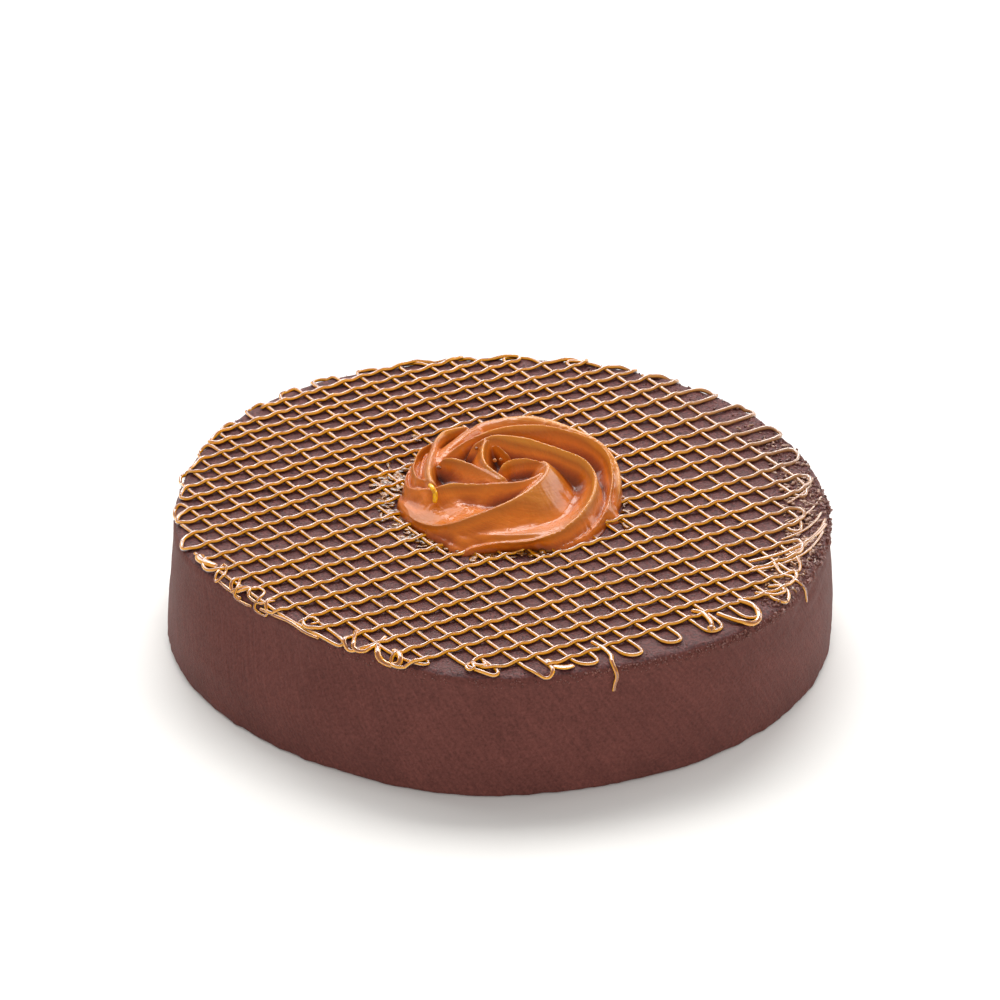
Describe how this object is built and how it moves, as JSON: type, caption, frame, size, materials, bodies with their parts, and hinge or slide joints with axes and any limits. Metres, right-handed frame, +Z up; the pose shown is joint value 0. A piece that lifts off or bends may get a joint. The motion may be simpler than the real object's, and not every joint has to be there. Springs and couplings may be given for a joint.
{
  "type": "flourless chocolate cake",
  "caption": "Round uncut flourless chocolate cake with a smooth ganache surface, a crossed caramel lattice piped over the top and a large caramel rosette in the middle.",
  "frame": {"origin": "middle of the cake's outline on the surface that it rests on", "axes": "+Z up out of the top, -Y towards the picture's front, +X to the right as seen from the front"},
  "size_m": [0.2314, 0.2291, 0.0625],
  "materials": {
    "ganache": "satin, smoothed with a spatula",
    "caramel": "glossy soft caramel"
  },
  "bodies": {
    "root": {"cake": "ganache", "rosette": "caramel"}
  },
  "joints": []
}
